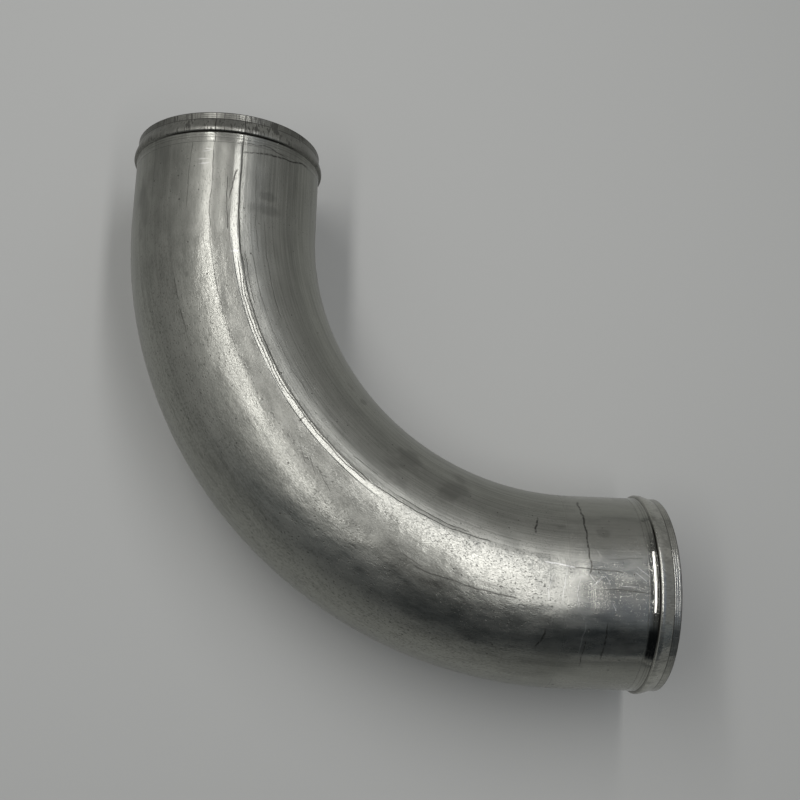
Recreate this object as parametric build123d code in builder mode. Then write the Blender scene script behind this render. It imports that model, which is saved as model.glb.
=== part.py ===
# Air pipe: one length of round aluminium tube, drawn round a bend die to a right angle,
# with a hose bead rolled into the wall near each end.
#
# Millimetres. The origin is the centre of the inlet's end face. The inlet leg runs from there
# along -Y, the bend turns it in the XY plane, and the outlet leg leaves along +X. +Z is up:
# the pipe lies on its side on the two beads and the underside of the bend.

import os
from math import cos, degrees, radians, sin

from build123d import *

# Tube
tube_outer_diameter = 76.2
wall_thickness = 2.0
edge_break = 0.3  # deburred edges of the two end faces

# Bend and legs
bend_radius = 145.0  # to the tube's centreline
bend_angle = 90.0
inlet_leg_length = 35.0  # straight tube from the end face to the start of the bend
outlet_leg_length = 35.0

# Rolled hose bead, in the order met from the end face inwards
lip_length = 2.8  # plain tube in front of the bead
ramp_length = 4.0  # gentle slope that a hose is pushed up
crest_width = 1.4
back_length = 0.4  # steep step that holds the hose clamp
flare_length = 3.0  # wall drawn up by the roll, easing back to the tube
bead_height = 1.3
flare_height = 0.25

# Rounding of the bead's corners
ramp_foot_radius = 4.0
crest_front_radius = 3.0
crest_back_radius = 0.7
crease_radius = 0.2
flare_radius = 8.0

# Groove left inside the tube by the forming roller
groove_width = 6.0
groove_depth = 0.8

# Ridges where the two halves of the bending die part, above and below the tube
ridge_angle = 100.0  # round the section, from the outside of the bend
ridge_width = 1.8
ridge_height = 0.25
ridge_setback = 1.0  # bare tube between the inlet bead's flare and the ridges

# Worked out from the sizes above
tube_radius = tube_outer_diameter / 2
bore_radius = tube_radius - wall_thickness
bead_radius = tube_radius + bead_height
ramp_end = lip_length + ramp_length
crest_end = ramp_end + crest_width
back_end = crest_end + back_length
flare_end = back_end + flare_length
groove_start = ramp_end - groove_width / 2
groove_end = ramp_end + groove_width / 2
ridge_start = flare_end + ridge_setback

up = Vector(0, 0, 1)
inlet_face = Vector(0, 0, 0)
inlet_inward = Vector(0, -1, 0)
bend_start = inlet_face + inlet_inward * inlet_leg_length
bend_centre = bend_start + Vector(bend_radius, 0, 0)
bend_axis = Axis(bend_centre, up)
turn = radians(bend_angle)
bend_end = bend_centre + Vector(-cos(turn), -sin(turn), 0) * bend_radius
outlet_inward = Vector(-sin(turn), cos(turn), 0)
outlet_face = bend_end - outlet_inward * outlet_leg_length

# The tube's cross-section where the bend starts: local X points to the outside of the bend
bend_section = Plane(origin=bend_start, x_dir=(-1, 0, 0), z_dir=-inlet_inward)


def round_section(radius, angle):
    """A point of the tube's cross-section, at an angle from the outside of the bend."""
    return (radius * cos(radians(angle)), radius * sin(radians(angle)))


with BuildPart() as air_pipe:
    # The ring of the drawn tube: two plain arcs joined by the low round of each die ridge
    ridge_half_angle = degrees(ridge_width / 2 / tube_radius)
    outside_edge = ridge_angle - ridge_half_angle
    inside_edge = ridge_angle + ridge_half_angle
    with BuildSketch(bend_section) as drawn_ring:
        with BuildLine():
            CenterArc((0, 0), tube_radius, -outside_edge, 2 * outside_edge)
            CenterArc((0, 0), tube_radius, inside_edge, 360 - 2 * inside_edge)
            for side in (1, -1):
                ThreePointArc(
                    round_section(tube_radius, side * outside_edge),
                    round_section(tube_radius + ridge_height, side * ridge_angle),
                    round_section(tube_radius, side * inside_edge),
                )
        make_face()
        Circle(bore_radius, mode=Mode.SUBTRACT)
    revolve(axis=bend_axis, revolution_arc=bend_angle)
    # The die grips the inlet leg too, so its ridges run on there towards the bead
    extrude(drawn_ring.sketch, amount=inlet_leg_length - ridge_start)

    # The hose ends: the wall's section with its rolled bead, turned about each leg's own axis.
    # The inlet's meets the drawn ring where the ridges start, the outlet's at the end of the bend.
    hose_ends = (
        (inlet_face, inlet_inward, ridge_start),
        (outlet_face, outlet_inward, outlet_leg_length),
    )
    for face_centre, inward, turned_length in hose_ends:
        with BuildSketch(Plane(origin=face_centre, x_dir=inward, z_dir=inward.cross(up))):
            with BuildLine():
                outside = FilletPolyline(
                    (edge_break, tube_radius),
                    (lip_length, tube_radius),
                    (ramp_end, bead_radius),
                    (crest_end, bead_radius),
                    (back_end, tube_radius + flare_height),
                    (flare_end, tube_radius),
                    (turned_length, tube_radius),
                    radius=[
                        ramp_foot_radius,
                        crest_front_radius,
                        crest_back_radius,
                        crease_radius,
                        flare_radius,
                    ],
                )
                Polyline(
                    outside @ 1,
                    (turned_length, bore_radius),
                    (groove_end, bore_radius),
                )
                ThreePointArc(
                    (groove_end, bore_radius),
                    (ramp_end, bore_radius + groove_depth),
                    (groove_start, bore_radius),
                )
                Polyline(
                    (groove_start, bore_radius),
                    (edge_break, bore_radius),
                    (0, bore_radius + edge_break),
                    (0, tube_radius - edge_break),
                    outside @ 0,
                )
            make_face()
        revolve(axis=Axis(face_centre, inward))

air_pipe.part.label = "air_pipe"

os.makedirs("parts", exist_ok=True)
export_step(air_pipe.part, "parts/air_pipe.step")
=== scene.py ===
# Air pipe: one length of bare aluminium tube, bent to a right angle, with a hose bead rolled near
# each end. Metres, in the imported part's frame: the inlet leg runs along -Y from the origin, the
# outlet leg leaves along +X, and +Z is up.

from math import atan2, degrees, hypot, pi, radians, sin

import bmesh
import bpy
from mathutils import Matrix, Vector


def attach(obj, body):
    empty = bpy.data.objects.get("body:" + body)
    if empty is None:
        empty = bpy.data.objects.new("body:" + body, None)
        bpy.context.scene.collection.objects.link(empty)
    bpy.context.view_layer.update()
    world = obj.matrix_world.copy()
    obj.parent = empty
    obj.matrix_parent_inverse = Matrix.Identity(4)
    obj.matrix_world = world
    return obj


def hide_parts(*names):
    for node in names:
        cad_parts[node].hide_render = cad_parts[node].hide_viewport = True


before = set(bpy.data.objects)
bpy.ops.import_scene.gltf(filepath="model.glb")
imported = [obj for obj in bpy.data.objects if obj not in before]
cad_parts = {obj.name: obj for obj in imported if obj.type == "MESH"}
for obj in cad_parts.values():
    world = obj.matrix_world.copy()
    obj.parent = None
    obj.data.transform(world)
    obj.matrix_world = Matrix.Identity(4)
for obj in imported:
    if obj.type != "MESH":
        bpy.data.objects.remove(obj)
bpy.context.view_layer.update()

# The camera: held by hand above the table, a little in front of the pipe, looking down on it.
# The position, the angles and the lens are the photograph's.
camera_place = (0.03866, -0.21160, 0.44330)
camera_turn = (radians(13.407), radians(-5.200), radians(1.561))
camera_lens = 49.91
sensor_width = 36.0
nearest_seen = 0.01

bpy.ops.object.select_all(action="DESELECT")
bpy.ops.object.camera_add(location=camera_place, rotation=camera_turn)
camera = bpy.context.object
camera.name = "camera"
camera.data.lens = camera_lens
camera.data.sensor_width = sensor_width
camera.data.clip_start = nearest_seen
bpy.context.scene.camera = camera
bpy.context.scene.view_settings.view_transform = "Standard"

# The table: a plain pale grey board under the whole pipe, which lies on its two beads and the
# underside of its bend.
table_top = -0.0394
table_middle = (0.1, -0.1, table_top)
table_width = 8.0
table_grey = (0.482, 0.491, 0.471, 1.0)
table_roughness = 0.75
table_gloss = 0.25

bpy.ops.object.select_all(action="DESELECT")
bpy.ops.mesh.primitive_plane_add(size=table_width, location=table_middle)
table = bpy.context.object
table.name = "table"
board_paint = bpy.data.materials.new("board_paint")
board_paint.use_nodes = True
board_shader = board_paint.node_tree.nodes["Principled BSDF"]
board_shader.inputs["Base Color"].default_value = table_grey
board_shader.inputs["Roughness"].default_value = table_roughness
board_shader.inputs["Specular IOR Level"].default_value = table_gloss
table.data.materials.append(board_paint)

# The lamps: two long strip lights that hang above the table to the left and right of the pipe,
# side by side along Y, each brighter in its far half. The metal mirrors them as long highlights.
strip_width = 0.075
strip_white = (1.0, 0.980, 0.990)

# Each half's name, place across, height, near and far end, and watts
strips = (
    ("left_strip_far", -0.209, 0.660, -0.10, 0.51, 1.66),
    ("left_strip_near", -0.209, 0.660, -0.40, -0.10, 0.68),
    ("right_strip_far", 0.235, 0.700, -0.10, 0.50, 1.50),
    ("right_strip_near", 0.235, 0.700, -0.49, -0.10, 0.74),
)
for name, across, height, near_end, far_end, watts in strips:
    bpy.ops.object.light_add(type="AREA", location=(across, (near_end + far_end) / 2, height))
    strip = bpy.context.object
    strip.name = name
    strip.data.shape = "RECTANGLE"
    strip.data.size = strip_width
    strip.data.size_y = far_end - near_end
    strip.data.energy = watts
    strip.data.color = strip_white


# The room round the table: pale walls with soft windows to the left and right, and in front a dark
# doorway, which the metal mirrors as the dark band along its outer side.
class Wire:
    """A socket in one node tree. Arithmetic on it adds the Math nodes that work it out."""

    def __init__(self, tree, socket=None):
        self.tree = tree
        self.socket = socket

    def add(self, kind, settings=None, inputs=None, output=0):
        """Adds a node: its settings first, then the values or the links of its sockets."""
        node = self.tree.nodes.new(kind)
        for name, value in (settings or {}).items():
            setattr(node, name, value)
        for name, value in (inputs or {}).items():
            if isinstance(value, Wire):
                self.tree.links.new(value.socket, node.inputs[name])
            else:
                node.inputs[name].default_value = value
        return Wire(self.tree, node.outputs[output] if node.outputs else None)

    def beside(self, output):
        """Another output of the same node."""
        return Wire(self.tree, self.socket.node.outputs[output])

    def math(self, operation, *values):
        return self.add("ShaderNodeMath", {"operation": operation}, dict(enumerate(values)))

    def rise(self, low, high):
        """0 below low and 1 above high, or the other way round where low is the larger."""
        steps = {"Value": self, "From Min": low, "From Max": high}
        return self.add("ShaderNodeMapRange", {"interpolation_type": "SMOOTHSTEP"}, steps, "Result")

    def mix(self, colour, other):
        """A colour that goes over to the other one as this value goes from 0 to 1."""
        return self.add("ShaderNodeMix", {"data_type": "RGBA"}, {0: self, 6: colour, 7: other}, 2)

    def __add__(self, other):
        return self.math("ADD", self, other)

    def __sub__(self, other):
        return self.math("SUBTRACT", self, other)

    def __rsub__(self, other):
        return self.math("SUBTRACT", other, self)

    def __mul__(self, other):
        return self.math("MULTIPLY", self, other)

    def __truediv__(self, other):
        return self.math("DIVIDE", self, other)

    def __or__(self, other):
        return self.math("MAXIMUM", self, other)

    def __abs__(self):
        return self.math("ABSOLUTE", self)

    __radd__ = __add__
    __rmul__ = __mul__


low_wall_light = 0.27
high_wall_light = 0.06
left_window_light = 0.42
right_window_light = 0.21
doorway_light = 0.030
wall_cream = (1.0, 1.0, 0.99, 1.0)
window_blue = (0.88, 1.0, 1.26, 1.0)
doorway_blue = (0.82, 1.0, 1.18, 1.0)

room = bpy.data.worlds.new("room")
bpy.context.scene.world = room
room.use_nodes = True
room.node_tree.nodes.clear()
air = Wire(room.node_tree)
looking = air.add("ShaderNodeSeparateXYZ", inputs={0: air.add("ShaderNodeTexCoord")}, output="Z")
ahead = looking.beside("Y") * -1.0
rightward = looking.beside("X")


def climb(low, high):
    """A soft edge between two heights above the table's level, as angles in degrees."""
    return looking.rise(sin(radians(low)), sin(radians(high)))


# The walls darken upwards, and each opening has soft edges to the side and in height
light = low_wall_light + climb(14, 36) * (high_wall_light - low_wall_light)
left_window = (rightward * -1.0).rise(0.20, 0.65) * climb(10, 45)
right_window = rightward.rise(0.12, 0.34) * climb(12, 30) * climb(84, 68)
light = light + left_window * left_window_light + right_window * right_window_light
doorway = climb(4, 9) * climb(62, 36) * ahead.rise(0.30, 0.78)
light = light + doorway * (doorway_light - light)
high_right = right_window * climb(34, 60)
tint = doorway.mix(high_right.mix(wall_cream, window_blue), doorway_blue)
glow = air.add("ShaderNodeBackground", inputs={"Color": tint, "Strength": light})
air.add("ShaderNodeOutputWorld", inputs={"Surface": glow})

# The pipe: 76.2 mm aluminium tube with a 2 mm wall, drawn round a die to a right angle. Near each
# end a bead is rolled out of the wall. The two halves of the die part above and below the tube,
# and leave a low flat strip there with a raised edge.
tube_radius = 0.0381
bore_radius = 0.0361
bend_radius = 0.145
leg_length = 0.035
bend_length = bend_radius * pi / 2
pipe_length = leg_length + bend_length + leg_length
bend_centre = Vector((bend_radius, -leg_length, 0.0))
outlet_face = Vector((leg_length + bend_radius, -leg_length - bend_radius, 0.0))

# How finely the mesh is divided round the tube, along each leg and along the bend and its bore, how
# near two places are the same, and the sharpest edge that is still smooth, in degrees
ring_points = 180
leg_steps = 16
bend_steps = 180
bore_steps = 60
same_place = 1e-6
along_slack = 2e-6
radius_slack = 2e-5
sharpest_smooth = 35

# The bead and the groove behind it, as distances from the end face and radii
crest_radius = tube_radius + 0.0013
crease_radius = tube_radius + 0.00025
bead_rings = (
    (0.0, tube_radius),
    (0.0028, tube_radius),
    (0.0068, crest_radius),
    (0.0082, crest_radius),
    (0.0086, crease_radius),
    (0.0116, tube_radius),
)
groove_rings = (
    (0.0, bore_radius),
    (0.0038, bore_radius),
    (0.0053, bore_radius + 0.0006),
    (0.0068, bore_radius + 0.0008),
    (0.0083, bore_radius + 0.0006),
    (0.0098, bore_radius),
)

# How far each corner is rounded, and in how many steps: the broken edges of the rim, then the
# ramp's foot, the crest's two corners, the crease and the end of the flare
rounded_corners = (
    (0.0, tube_radius, 0.0003, 1),
    (0.0, bore_radius, 0.0003, 1),
    (0.0028, tube_radius, 0.0005, 3),
    (0.0068, crest_radius, 0.0005, 3),
    (0.0082, crest_radius, 0.00045, 4),
    (0.0086, crease_radius, 0.00012, 2),
    (0.0116, tube_radius, 0.0008, 3),
)

# The die's strip across the tube, as degrees round the section and heights above the plain tube:
# from the seam line it sinks a little, climbs to its raised edge and steps down on the far side
strip_profile = ((85.5, 0.0), (90.0, -0.00012), (97.5, 0.00020), (101.5, 0.00013), (102.5, 0.0))


def along_out_up(place):
    """A point as the straight tube had it: along the tube, out from the bend's inside, and up."""
    if place.y > -leg_length:
        return Vector((-place.y, -place.x, place.z))
    if place.x > bend_radius:
        along = leg_length + bend_length + place.x - bend_radius
        return Vector((along, outlet_face.y - place.y, place.z))
    spoke = bend_centre - place
    along = leg_length + bend_radius * atan2(spoke.y, spoke.x)
    return Vector((along, hypot(spoke.x, spoke.y) - bend_radius, place.z))


def round_angle(place):
    """How far round the tube's section a point lies, in degrees from the outside of the bend."""
    straight = along_out_up(place)
    return degrees(atan2(straight.z, straight.y))


def pick(test):
    """In edit mode, selects the vertices whose place passes the test, and nothing else."""
    bpy.ops.mesh.select_mode(type="VERT")
    bpy.ops.mesh.select_all(action="DESELECT")
    shape = bmesh.from_edit_mesh(bpy.context.object.data)
    for vertex in shape.verts:
        vertex.select = test(vertex.co)
    shape.select_flush(True)
    bmesh.update_edit_mesh(bpy.context.object.data)


def draw_on(step, axis, centre, scale):
    """Extrudes the selected ring by a step, and scales the new ring about the tube's axis."""
    bpy.ops.mesh.extrude_region_move(TRANSFORM_OT_translate={"value": step})
    if scale != 1.0:
        sizes = [scale, scale, scale]
        sizes[axis] = 1.0
        bpy.ops.transform.resize(value=sizes, center_override=centre)


bpy.ops.object.select_all(action="DESELECT")
bpy.ops.mesh.primitive_circle_add(
    vertices=ring_points, radius=tube_radius, rotation=(radians(90), 0, 0)
)
pipe = bpy.context.object
pipe.name = "bent_tube"
bpy.ops.object.transform_apply(location=True, rotation=True, scale=True)
bpy.ops.object.mode_set(mode="EDIT")

# Closer vertices where the strip and the seam line run, then the ring is made round again
for angle, reach in ((100.0, 4.5), (85.5, 2.5)):
    pick(lambda place: abs(abs(round_angle(place)) - angle) < reach)
    bpy.ops.mesh.subdivide(number_cuts=3)
shape = bmesh.from_edit_mesh(pipe.data)
for vertex in shape.verts:
    vertex.co *= tube_radius / vertex.co.length
bmesh.update_edit_mesh(pipe.data)

# Outside: the inlet's bead and leg, the bend, then the outlet's leg and bead
bpy.ops.mesh.select_all(action="SELECT")
for (here, radius), (there, next_radius) in zip(bead_rings, bead_rings[1:]):
    draw_on((0, here - there, 0), 1, (0, -there, 0), next_radius / radius)
plain = leg_length - bead_rings[-1][0]
for count in range(leg_steps):
    draw_on((0, -plain / leg_steps, 0), 1, (0, 0, 0), 1.0)
bpy.ops.mesh.spin(steps=bend_steps, angle=radians(-90), center=bend_centre, axis=(0, 0, 1))
for count in range(leg_steps):
    draw_on((plain / leg_steps, 0, 0), 0, (0, 0, 0), 1.0)
bead_outward = tuple(reversed(bead_rings))
for (here, radius), (there, next_radius) in zip(bead_outward, bead_outward[1:]):
    face = (outlet_face.x - there, outlet_face.y, 0)
    draw_on((here - there, 0, 0), 0, face, next_radius / radius)

# The outlet's rim, then the bore all the way back to the inlet
draw_on((0, 0, 0), 0, outlet_face, bore_radius / tube_radius)
for (here, radius), (there, next_radius) in zip(groove_rings, groove_rings[1:]):
    face = (outlet_face.x - there, outlet_face.y, 0)
    draw_on((here - there, 0, 0), 0, face, next_radius / radius)
plain_bore = leg_length - groove_rings[-1][0]
draw_on((-plain_bore, 0, 0), 0, (0, 0, 0), 1.0)
bpy.ops.mesh.spin(steps=bore_steps, angle=radians(90), center=bend_centre, axis=(0, 0, 1))
draw_on((0, plain_bore, 0), 1, (0, 0, 0), 1.0)
groove_outward = tuple(reversed(groove_rings))
for (here, radius), (there, next_radius) in zip(groove_outward, groove_outward[1:]):
    draw_on((0, here - there, 0), 1, (0, -there, 0), next_radius / radius)

# The inlet's rim closes the wall, and the corners are rounded
pick(lambda place: abs(place.y) < same_place)
bpy.ops.mesh.bridge_edge_loops()
bpy.ops.mesh.select_all(action="SELECT")
bpy.ops.mesh.remove_doubles(threshold=same_place)
bpy.ops.mesh.normals_make_consistent(inside=False)


def on_ring(place, inwards, radius):
    """Whether a point lies on the ring so far inwards from either end face, at that radius."""
    straight = along_out_up(place)
    from_end = min(straight.x, pipe_length - straight.x)
    off_radius = abs(hypot(straight.y, straight.z) - radius)
    return abs(from_end - inwards) < along_slack and off_radius < radius_slack


for inwards, radius, width, steps in rounded_corners:
    pick(lambda place: on_ring(place, inwards, radius))
    bpy.ops.mesh.bevel(offset=width, offset_type="OFFSET", segments=steps, affect="EDGES")
bpy.ops.object.mode_set(mode="OBJECT")


def smooth(value, low, high):
    """0 below low, 1 above high, and an even curve between."""
    share = min(1.0, max(0.0, (value - low) / (high - low)))
    return share * share * (3 - 2 * share)


def strip_height(angle):
    """The strip's height above the plain tube at an angle round the section."""
    for (here, low), (there, high) in zip(strip_profile, strip_profile[1:]):
        if here <= angle <= there:
            return low + (high - low) * (angle - here) / (there - here)
    return 0.0


# The strip is pushed out and in from the round tube. It starts behind the inlet's bead. Along the
# top it fades out past the middle of the bend, and below it runs on nearly to the outlet's leg.
strip_start = (0.0105, 0.0140)
strip_end_above = 0.171
strip_end_below = 0.235
raised_fade = 0.012
sunk_fade = 0.070
under_skin = 0.0002
raised = pipe.vertex_groups.new(name="raised")
sunk = pipe.vertex_groups.new(name="sunk")
highest = max(height for angle, height in strip_profile)
deepest = min(height for angle, height in strip_profile)
for vertex in pipe.data.vertices:
    straight = along_out_up(vertex.co)
    if hypot(straight.y, straight.z) < tube_radius - under_skin:
        continue
    angle = degrees(atan2(straight.z, straight.y))
    last = strip_end_above if angle > 0 else strip_end_below
    height = strip_height(abs(angle)) * smooth(straight.x, *strip_start)
    if height > 0:
        fade = 1 - smooth(straight.x, last - raised_fade, last)
        raised.add([vertex.index], fade * height / highest, "REPLACE")
    if height < 0:
        fade = 1 - smooth(straight.x, last - sunk_fade, last)
        sunk.add([vertex.index], fade * height / deepest, "REPLACE")
for group, height in ((raised, highest), (sunk, deepest)):
    push = pipe.modifiers.new("push_" + group.name, "DISPLACE")
    push.vertex_group = group.name
    push.mid_level = 0.0
    push.strength = height
    bpy.ops.object.modifier_apply(modifier=push.name)
bpy.ops.object.shade_smooth_by_angle(angle=radians(sharpest_smooth))

# Where each point lay on the straight tube, in millimetres, for the patterns that follow the wall
drawn = pipe.data.attributes.new("drawn", "FLOAT_VECTOR", "POINT")
for vertex in pipe.data.vertices:
    drawn.data[vertex.index].vector = along_out_up(vertex.co) * 1000

bare = bpy.data.materials.new("bare_aluminium")
bare.use_nodes = True
bare.node_tree.nodes.clear()
bench = Wire(bare.node_tree)
spot = bench.add("ShaderNodeAttribute", {"attribute_name": "drawn"}, output="Vector")
along = bench.add("ShaderNodeSeparateXYZ", inputs={0: spot}, output="X")
turn = bench.math("ARCTAN2", along.beside("Z"), along.beside("Y")) * degrees(1)
side = abs(turn)
half_length = pipe_length * 1000 / 2
mm_per_degree = radians(tube_radius * 1000)
from_end = half_length - abs(along - half_length)
out, up = along.beside("Y"), along.beside("Z")
from_axis = bench.math("SQRT", out * out + up * up)
inside = from_axis.rise(37.4, 37.1)


def grain(scale, detail=2.0, stretch=(1.0, 1.0, 1.0), shift=0.0):
    """Even noise from 0 to 1 in the wall, stretched along the tube or round it."""
    steps = {0: spot, 1: stretch, 2: (shift, shift, shift)}
    place = bench.add("ShaderNodeVectorMath", {"operation": "MULTIPLY_ADD"}, steps)
    return bench.add("ShaderNodeTexNoise", inputs={"Vector": place, "Scale": scale, "Detail": detail})


# Hand-made lines are never quite straight: the places that they are drawn by wander a little
wander = grain(0.10, 3.0, shift=41.0)
line_turn = turn + (wander - 0.5) * 3.0
line_along = along + (wander - 0.5) * 5.0
broken = grain(0.9, 2.0, shift=77.0).rise(0.36, 0.50)


def line(from_along, from_turn, to_along, to_turn, width, soft=1.5):
    """A mark along the tube: 1 on the line between two points of the wall, in mm and degrees."""
    lean = (to_turn - from_turn) / (to_along - from_along)
    off = abs(line_turn - (along * lean + (from_turn - from_along * lean))) * mm_per_degree
    ends = line_along.rise(from_along - soft, from_along + soft)
    ends = ends * line_along.rise(to_along + soft, to_along - soft)
    return off.rise(width, width * 0.25) * ends


def ring(at_along, from_turn, to_turn, width, lean=0.0, soft=3.0):
    """A mark round the tube, from one angle to another, leaning so many mm a degree."""
    off = abs(line_along - ((turn - from_turn) * lean + at_along))
    ends = line_turn.rise(from_turn - soft, from_turn + soft)
    ends = ends * line_turn.rise(to_turn + soft, to_turn - soft)
    return off.rise(width, width * 0.25) * ends


def ends_ring(inwards, width):
    """A mark all the way round, so far inwards from each end face."""
    return abs(from_end - inwards).rise(width, width * 0.25)


def patch(at_along, at_turn, long, wide):
    """A soft stain of a given half length in mm and half width in degrees, with a ragged edge."""
    over = (along - at_along) / long
    across = (turn - at_turn) / wide
    reach = bench.math("SQRT", over * over + across * across)
    return (reach + (ragged - 0.5) * 2.4).rise(1.0, 0.2)


def gather(kind, places):
    """All marks of one kind as one mask."""
    marks = [kind(*place) for place in places]
    whole = marks[0]
    for mark in marks[1:]:
        whole = whole | mark
    return whole


ragged = grain(0.16, 3.0, (0.7, 1.0, 1.0), shift=23.0)

# The inside of the bend is wiped by the die, and the outside is stretched, which roughens it.
# The inlet's end is dusty, and the outlet's leg is the cleanest.
wiped = side.rise(101.0, 106.0) * from_end.rise(9.0, 16.0)
stretched = along.rise(30.0, 75.0) * along.rise(264.0, 234.0)
dusty = along.rise(62.0, 14.0)
clean_leg = along.rise(254.0, 266.0)

# The wall's grain, from its speckle to its widest clouds, and the lines drawn along and round it
sparkle = grain(2.2, 2.0, (0.5, 1.0, 1.0), shift=17.0)
peel = grain(0.50, 2.0, (0.7, 1.0, 1.0))
wave = grain(0.07, 1.0, shift=5.0)
dents = grain(0.17, 2.0, (0.6, 1.0, 1.0), shift=71.0)
cloud = grain(0.040, 3.0, (0.6, 1.0, 1.0), shift=31.0)
mottle = grain(0.28, 4.0, (0.45, 1.0, 1.0), shift=61.0)
drawn_lines = grain(1.15, 3.0, (0.010, 1.0, 1.0), shift=3.0)
fine_lines = grain(2.4, 2.0, (0.02, 1.0, 1.0), shift=9.0)
turned_lines = grain(1.5, 2.0, (1.0, 0.03, 0.03), shift=13.0)

# Fine pits and specks of dirt, in some cells of an even scatter
cells = bench.add("ShaderNodeTexVoronoi", inputs={"Vector": spot, "Scale": 0.30}, output="Distance")
chance = bench.add("ShaderNodeSeparateXYZ", inputs={0: cells.beside("Color")}, output="X")
specks = (cells - chance * 0.08).rise(0.06, 0.0) * chance.rise(0.70, 0.72)
crumbs = grain(1.9, 2.0, (0.6, 1.0, 1.0), shift=50.0).rise(0.60, 0.67)
crumbs = crumbs * (0.35 + 0.65 * cloud.rise(0.40, 0.55))

# Lines that the die cut beside its strip, the seam line, and the later scratches. The first two die
# lines run along the strip's step down: partly cut lines, partly painted shade of that step. Each goes
# from one place to another, in mm along and degrees round, and has a half width and softened ends in mm.
die_cuts_and_step_shade = gather(
    line,
    (
        (9.0, 102.4, 60.0, 102.4, 0.34),
        (60.0, 102.6, 170.0, 101.6, 0.26),
        (62.0, 99.4, 120.0, 98.8, 0.20),
        (70.0, 100.8, 168.0, 100.2, 0.22),
        (60.0, 104.6, 82.0, 104.4, 0.20),
        (172.0, 102.0, 222.0, 104.0, 0.24),
        (182.0, 104.8, 214.0, 105.4, 0.20),
        (24.0, 99.6, 36.5, 96.4, 0.36, 0.8),
        (27.0, 94.6, 50.0, 95.4, 0.22),
    ),
)
seam = (line(8.0, 85.5, 66.0, 85.5, 0.22) | line(58.0, 85.5, 100.0, 85.3, 0.24)) * (0.3 + 0.7 * broken)
pitted = grain(1.1, 2.0, (0.7, 1.0, 1.0), shift=90.0).rise(0.54, 0.62)
seam = seam | line(78.0, 84.6, 165.0, 87.5, 1.1, 5.0) * pitted
bead_cuts = line(-3.0, 85.0, 9.0, 85.5, 0.34, 0.5) | line(-3.0, 103.0, 9.0, 103.0, 0.36, 0.5)
scratches = gather(
    line,
    (
        (140.0, 89.5, 147.0, 84.0, 0.22, 0.5),
        (146.0, 88.5, 153.0, 83.5, 0.22, 0.5),
        (152.0, 87.5, 160.0, 82.5, 0.20, 0.5),
        (64.0, 60.4, 72.0, 60.6, 0.22, 0.5),
        (76.0, 60.8, 85.0, 61.0, 0.24, 0.5),
        (158.0, 106.6, 170.0, 107.6, 0.20, 0.5),
        (200.0, 75.5, 237.0, 77.5, 0.42, 1.0),
        (193.0, 78.0, 203.0, 77.0, 0.22, 0.6),
        (257.0, 99.0, 275.0, 97.0, 0.34, 0.8),
        (268.0, 88.0, 287.0, 86.0, 0.30, 1.0),
        (270.0, 104.0, 284.0, 106.0, 0.22, 1.0),
        (20.0, 111.0, 60.0, 113.0, 0.20, 2.0),
        (45.0, 118.0, 90.0, 117.0, 0.20, 2.0),
        (60.0, 109.0, 130.0, 110.0, 0.18, 2.0),
        (12.0, 72.0, 40.0, 71.0, 0.18, 2.0),
    ),
)
bright_lines = gather(
    line,
    (
        (245.0, 100.0, 257.0, 99.0, 0.36, 0.8),
        (274.0, 89.0, 281.0, 89.4, 0.18, 1.5),
        (271.0, 81.0, 273.0, 75.5, 0.45, 0.4),
        (262.5, 96.0, 265.5, 91.0, 0.22, 0.4),
        (265.0, 91.0, 268.0, 94.5, 0.20, 0.4),
        (268.5, 96.0, 270.5, 90.0, 0.20, 0.4),
        (281.0, 97.0, 285.0, 92.0, 0.18, 0.4),
        (282.0, 100.0, 286.0, 95.0, 0.18, 0.4),
    ),
)

# Marks round the tube: mm along, from and to degrees round, half width, lean and softened ends
bright_rings = gather(
    ring,
    (
        (58.5, 95.5, 100.5, 0.45, 0.0, 0.5),
        (261.0, 50.0, 68.0, 0.24),
        (248.0, 79.0, 93.0, 0.22, 0.03),
        (253.0, 80.0, 95.0, 0.20, -0.02),
        (259.0, 78.0, 92.0, 0.22, 0.02),
        (15.5, 80.0, 84.0, 0.28, 0.10, 1.0),
        (16.8, 79.0, 84.5, 0.24, -0.08, 1.0),
        (20.5, 77.0, 82.0, 0.35, 0.05, 2.0),
        (22.8, 78.0, 83.0, 0.40, -0.06, 2.0),
    ),
)
dark_rings = gather(
    ring,
    (
        (263.0, 95.0, 150.0, 0.55),
        (262.3, 40.0, 60.0, 0.22),
        (247.5, 52.0, 62.0, 0.45, 0.10),
        (269.5, 47.0, 69.0, 0.42, 0.06),
        (240.7, 117.0, 128.0, 0.55, 0.0, 1.0),
        (133.0, 96.0, 101.0, 0.45, 0.0, 0.6),
        (16.5, 103.0, 150.0, 0.60, -0.10),
        (11.8, 100.0, 130.0, 0.30, 0.03),
    ),
)

# Stains: mm along and degrees round, then their half length and half width
stains = gather(
    patch,
    (
        (31.0, 35.0, 13.0, 11.0),
        (32.5, 119.0, 2.0, 10.0),
        (39.0, 117.0, 3.0, 13.0),
        (132.0, 143.0, 4.0, 3.5),
        (141.0, 143.0, 2.0, 3.0),
        (176.0, 128.0, 9.0, 20.0),
        (202.0, 131.0, 9.0, 18.0),
        (252.0, 124.0, 6.0, 3.5),
        (269.5, 121.0, 3.0, 5.0),
        (276.0, 60.0, 7.0, 9.0),
        (169.0, 100.0, 1.4, 2.2),
        (65.0, 69.0, 1.2, 1.2),
        (83.0, 68.0, 1.2, 1.2),
        (158.0, 79.0, 1.4, 1.5),
        (226.0, 81.0, 4.0, 1.5),
    ),
)

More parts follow.
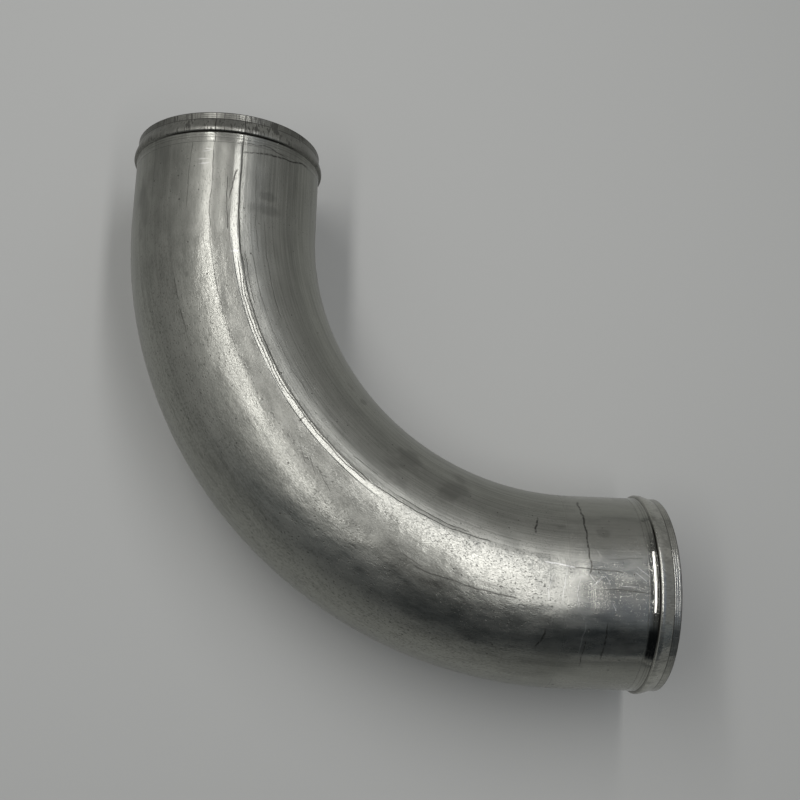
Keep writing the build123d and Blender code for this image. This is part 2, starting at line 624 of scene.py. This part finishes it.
# Spots on top of the bend that have been rubbed bright, and pale ones low on the outlet's leg
rubbed = gather(
    patch,
    (
        (118.0, 79.5, 11.0, 4.0),
        (150.0, 76.5, 10.0, 4.5),
        (166.0, 74.0, 8.0, 4.5),
        (224.0, 88.0, 14.0, 7.0),
    ),
)
wiped_clean = gather(
    patch,
    (
        (259.0, 24.0, 5.0, 14.0),
        (267.0, 135.0, 15.0, 5.0),
        (281.0, 128.0, 5.0, 8.0),
    ),
)

# The rolls cut fine rings into the lip, the bead's foot and the flare, where dirt has settled
# The crease behind each bead's crest gets painted shade
crease_shade = ends_ring(8.62, 0.40)
foot_line = ends_ring(2.9, 0.36)
rim_line = ends_ring(0.15, 0.50)
lip_rings = ends_ring(1.15, 0.22) | ends_ring(2.0, 0.20)
flare_rings = ends_ring(9.75, 0.22) | ends_ring(10.7, 0.26) | ends_ring(12.6, 0.22)
bead = from_end.rise(8.9, 8.5)
lip = from_end.rise(3.3, 2.6)
flare = from_end.rise(8.5, 8.9) * from_end.rise(12.6, 11.6)
roll_streaks = grain(1.5, 2.0, (0.12, 1.0, 1.0), shift=29.0)

# The strip's raised edge, the stretched wall outside it, and the bend's roughest and brightest parts
strip_run = along.rise(12.0, 20.0) * along.rise(190.0, 160.0)
ridge = side.rise(96.8, 97.8) * side.rise(101.4, 100.8) * strip_run
outer = stretched * (1.0 - wiped) * (1.0 - ridge)
rough_bend = along.rise(55.0, 95.0) * along.rise(190.0, 155.0) * (1.0 - wiped)
bright_bend = along.rise(185.0, 225.0) * along.rise(264.0, 254.0) * (1.0 - wiped)

# The surface's height, for the fine forms that the mesh is too coarse for. It is in millimetres,
# so the bump's distance is one of them.
millimetre = 0.001
height = sparkle * (0.010 - 0.006 * clean_leg + 0.038 * outer)
height = height + peel * (0.026 + 0.044 * outer) + wave * 0.4
height = height + dents * 0.22 * outer
height = height + drawn_lines * (0.010 + 0.035 * wiped)
height = height + (turned_lines - 0.5) * (0.005 + 0.007 * clean_leg) * broken
height = height * (1.0 - bead * 0.7) + roll_streaks * bead * 0.05
height = height - (specks * 0.04 + crumbs * 0.02)
height = height - (die_cuts_and_step_shade * 0.06 + seam * 0.04 + foot_line * 0.05)
height = height - (flare_rings * 0.030 + lip_rings * 0.020)
height = height * (1.0 - inside) + inside * (fine_lines * 0.03 + wave * 0.3)
shine = bench.add(
    "ShaderNodeBump", inputs={"Strength": 1.0, "Distance": millimetre, "Height": height}, output="Normal"
)

# How much dirt covers each mark, with painted shade along the strip's step and in the beads' creases
# and a painted dark reflection on the outlet's flare, then the freshly cut metal that shines in the
# lightest ones
dirt_and_shade = specks * 0.6 | crumbs * (0.25 + 0.30 * outer) | die_cuts_and_step_shade * 0.70 | seam * 0.50 | scratches * 0.6
dirt_and_shade = dirt_and_shade | dark_rings * (0.35 + 0.45 * broken)
dirt_and_shade = dirt_and_shade | bead_cuts * 0.85 | foot_line * 0.65 | rim_line * 0.75 | stains * 0.27
# Painted shade in the crease behind each crest, darkest over the top of the tube
dirt_and_shade = dirt_and_shade | crease_shade * (0.45 + 0.55 * abs(side - 93.0).rise(52.0, 26.0))
dirt_and_shade = dirt_and_shade | flare_rings * 0.35 | lip_rings * 0.35
# The inlet's bead darkens away from its top
dirt_and_shade = dirt_and_shade | bead * dusty * abs(side - 94.0).rise(8.0, 55.0) * 0.40
dirt_and_shade = dirt_and_shade | bead * (mottle + roll_streaks - 0.5).rise(0.48, 0.66) * (0.30 + 0.40 * dusty)
# A painted dark reflection of the doorway, as a wedge on the outer side of the outlet's flare
dirt_and_shade = dirt_and_shade | flare * clean_leg * side.rise(71.0, 63.0) * side.rise(43.0, 49.0) * 0.85
fresh = bright_lines * 0.7 | bright_rings * 0.4

# The metal's own colours, and how its tone goes over from the dull one to the clean one
dull_metal = (0.165, 0.168, 0.150, 1.0)
clean_metal = (0.352, 0.355, 0.320, 1.0)
bead_metal = (0.480, 0.480, 0.435, 1.0)
# The near-black of dirt, used as well for painted shade
grime_and_shade = (0.026, 0.025, 0.022, 1.0)
cut_metal = (0.60, 0.60, 0.58, 1.0)
lower = side.rise(66.0, 44.0)
streaks = (drawn_lines - 0.5) * (0.40 + 0.80 * wiped + 0.55 * lower)
grit = (sparkle - 0.5) * outer * (0.3 + cloud)
hairlines = (fine_lines - 0.5) * (0.15 + 0.65 * wiped)
smudges = (cloud - 0.5) * (1.1 - 0.7 * wiped) + (mottle - 0.5) * (0.8 + 0.3 * outer - 0.4 * wiped)
tone = 0.80 + smudges + streaks + hairlines + grit * 2.0 - 0.12 * side.rise(136.0, 160.0) * stretched
tone = tone - 0.30 * dusty + 0.24 * clean_leg - 0.15 * lip + 0.22 * ridge + 0.40 * wiped_clean
colour = tone.mix(dull_metal, bead.mix(clean_metal, bead_metal))
colour = fresh.mix(dirt_and_shade.mix(colour, grime_and_shade), cut_metal)

# Where the metal is polished it mirrors, and where it is scuffed it only glows: a mixture all over.
# The stretched outside of the bend is the dullest part, and the outlet's leg the most polished.
polish_roughness = 0.276
satin_roughness = 0.45
patchy = (cloud - 0.5) * 0.8 + (mottle - 0.5) * (0.7 + 0.35 * outer)
scuffed = 0.48 + patchy * (1.0 - 0.6 * wiped) + 0.10 * wiped + 0.4 * (dirt_and_shade | fresh)
scuffed = scuffed + 0.24 * rough_bend + 0.14 * dusty - 0.20 * clean_leg - grit * 0.9 - 0.30 * ridge
scuffed = scuffed * (1.0 - flare * (0.15 + 0.70 * clean_leg)) - 0.26 * rubbed
scuffed = scuffed - 0.22 * bright_bend
mirror = polish_roughness - 0.116 * clean_leg - 0.08 * flare
polish = bench.add(
    "ShaderNodeBsdfPrincipled",
    inputs={"Base Color": colour, "Metallic": 1.0, "Roughness": mirror, "Normal": shine},
)
satin = bench.add(
    "ShaderNodeBsdfPrincipled",
    inputs={"Base Color": colour, "Metallic": 1.0, "Roughness": satin_roughness, "Normal": shine},
)
skin = bench.add("ShaderNodeMixShader", inputs={0: scuffed, 1: polish, 2: satin})
bench.add("ShaderNodeOutputMaterial", inputs={"Surface": skin})
pipe.data.materials.append(bare)

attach(pipe, "root")
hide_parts("air_pipe")
